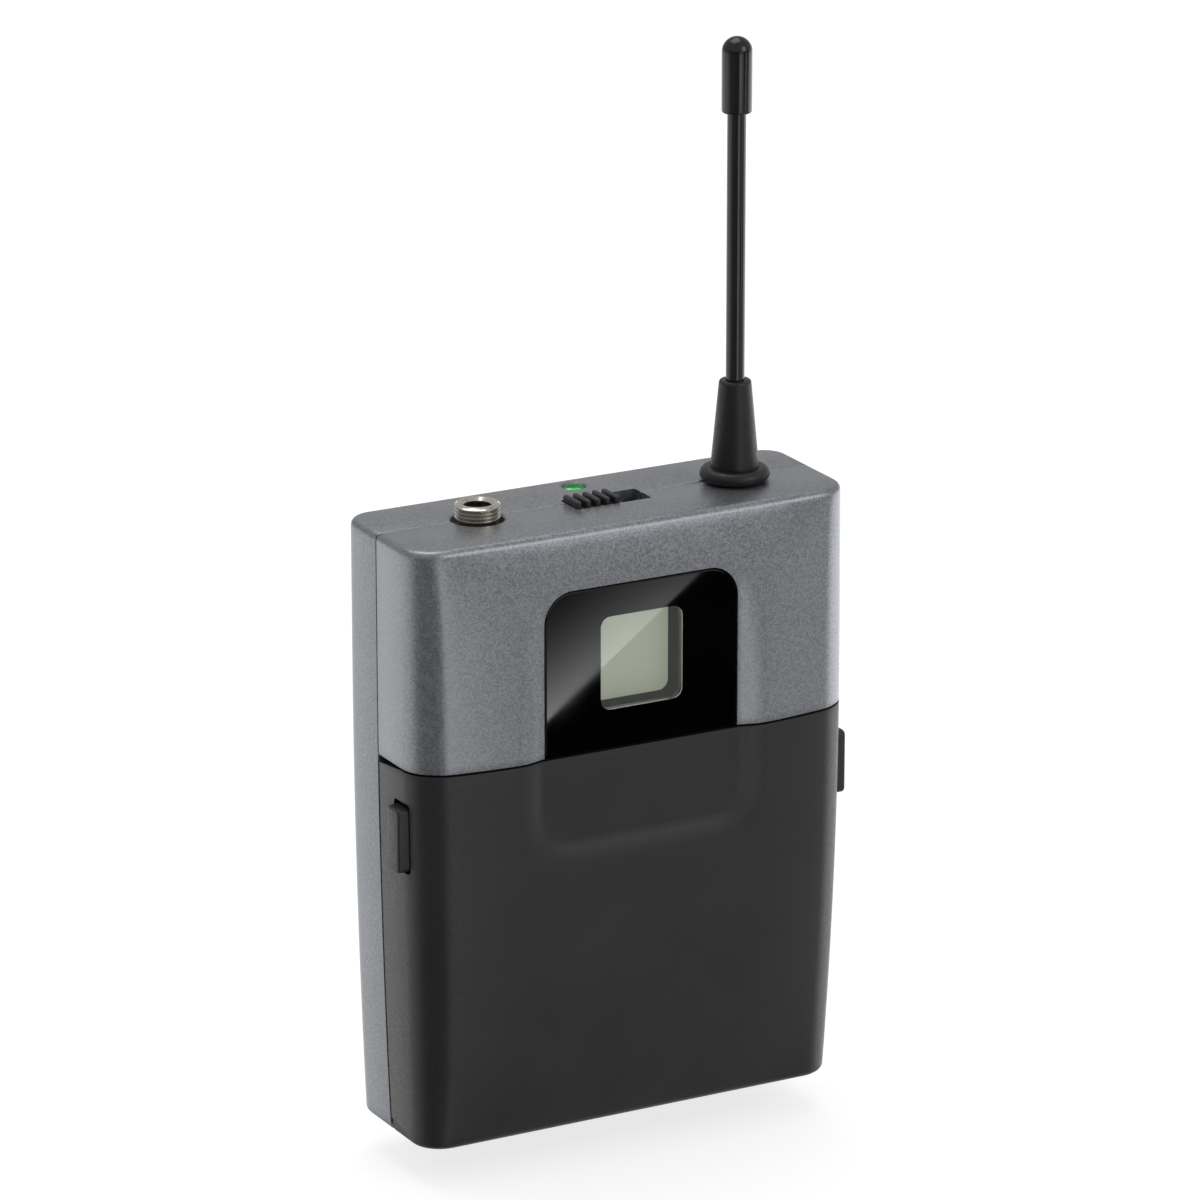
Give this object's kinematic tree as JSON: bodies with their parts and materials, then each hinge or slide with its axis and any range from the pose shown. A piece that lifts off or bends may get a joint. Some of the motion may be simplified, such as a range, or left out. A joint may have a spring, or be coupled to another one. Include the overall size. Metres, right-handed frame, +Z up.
{
  "type": "wireless bodypack transmitter",
  "caption": "Belt-worn wireless microphone transmitter: grey case with display window, black hinged battery cover with side catches, top socket, mute slider, antenna and wire clip.",
  "frame": {"origin": "centre of the footprint at the bottom, on the rear shell's flat foot, midway between the front face and the belt clip", "axes": "+Z up along the antenna, +X towards the antenna side, -Y out of the front with the display and the battery cover"},
  "size_m": [0.0664, 0.0292, 0.1413],
  "materials": {
    "shell_paint": "fine metallic paint on moulded plastic, satin",
    "cover_plastic": "fine spark-eroded texture, satin",
    "inner_plastic": "smooth moulded, satin",
    "nickel": "bright nickel plate",
    "steel": "ground pin",
    "dark_steel": "black zinc",
    "clip_wire": "drawn spring wire, nickel plated",
    "board": "green solder mask",
    "cell_jacket": "shrink sleeve over steel can",
    "power_key": "moulded key, satin",
    "grey_key": "moulded key, satin",
    "pane": "polished acrylic, black behind, clear over the display",
    "lcd": "grey-green liquid crystal",
    "led": "translucent green lens",
    "led_case": "white package",
    "antenna_satin": "moulded flexible boot, satin",
    "antenna_gloss": "smooth flexible sleeve, glossy",
    "brass": "turned"
  },
  "bodies": {
    "case": {"rear_shell": "shell_paint", "front_shell": "shell_paint", "battery_tray": "inner_plastic", "cell_lower": "cell_jacket", "cell_upper": "cell_jacket", "contact_plates": "nickel", "contact_springs": "nickel", "key_board": "board", "key_switches": "inner_plastic", "rocker_bearings": "inner_plastic", "window_pane": "pane", "display_mask": "inner_plastic", "lcd_panel": "lcd", "display_board": "board", "main_board": "board", "board_chips": "inner_plastic", "rf_shield": "nickel", "jack_bush": "nickel", "jack_body": "inner_plastic", "jack_nut": "nickel", "mute_switch": "inner_plastic", "led_lens": "led", "led_chip": "led_case", "antenna_collar": "antenna_satin", "antenna_boot": "antenna_satin", "antenna_whip": "antenna_gloss", "antenna_tip": "antenna_gloss", "antenna_foot": "brass", "case_screws": "dark_steel"},
    "cover": {"battery_cover": "cover_plastic", "hinge_pins": "steel", "catch_spring_left": "nickel", "catch_spring_right": "nickel"},
    "left_catch": {"catch_left": "cover_plastic"},
    "right_catch": {"catch_right": "cover_plastic"},
    "mute_knob": {"mute_slider": "cover_plastic"},
    "power_key": {"power_button": "power_key"},
    "set_key": {"set_button": "grey_key"},
    "select_key": {"select_rocker": "grey_key"},
    "clip": {"belt_clip": "clip_wire"}
  },
  "joints": [
    {"name": "cover_hinge", "type": "hinge", "parent": "case", "child": "cover", "pos_m": [0, -0.0079, 0.002], "axis": [1, 0, 0], "range_deg": [0, 90]},
    {"name": "catch_left_press", "type": "slide", "parent": "cover", "child": "left_catch", "axis": [1, 0, 0], "range_m": [0, 0.0011], "stiffness_N_per_m": 800, "deforming": ["catch_spring_left"]},
    {"name": "catch_right_press", "type": "slide", "parent": "cover", "child": "right_catch", "axis": [-1, 0, 0], "range_m": [0, 0.0011], "stiffness_N_per_m": 800, "deforming": ["catch_spring_right"]},
    {"name": "mute_slide", "type": "slide", "parent": "case", "child": "mute_knob", "axis": [1, 0, 0], "range_m": [0, 0.0037]},
    {"name": "power_press", "type": "slide", "parent": "case", "child": "power_key", "axis": [0, 1, 0], "range_m": [0, 0.0005], "stiffness_N_per_m": 600},
    {"name": "set_press", "type": "slide", "parent": "case", "child": "set_key", "axis": [0, 1, 0], "range_m": [0, 0.0005], "stiffness_N_per_m": 600},
    {"name": "select_rock", "type": "hinge", "parent": "case", "child": "select_key", "pos_m": [0, -0.0086, 0.043], "axis": [1, 0, 0], "range_deg": [-4, 4], "stiffness_Nm_per_rad": 0.05},
    {"name": "clip_flex", "type": "hinge", "parent": "case", "child": "clip", "pos_m": [0, 0.0124, 0.066], "axis": [1, 0, 0], "range_deg": [0, 22], "stiffness_Nm_per_rad": 0.6}
  ]
}
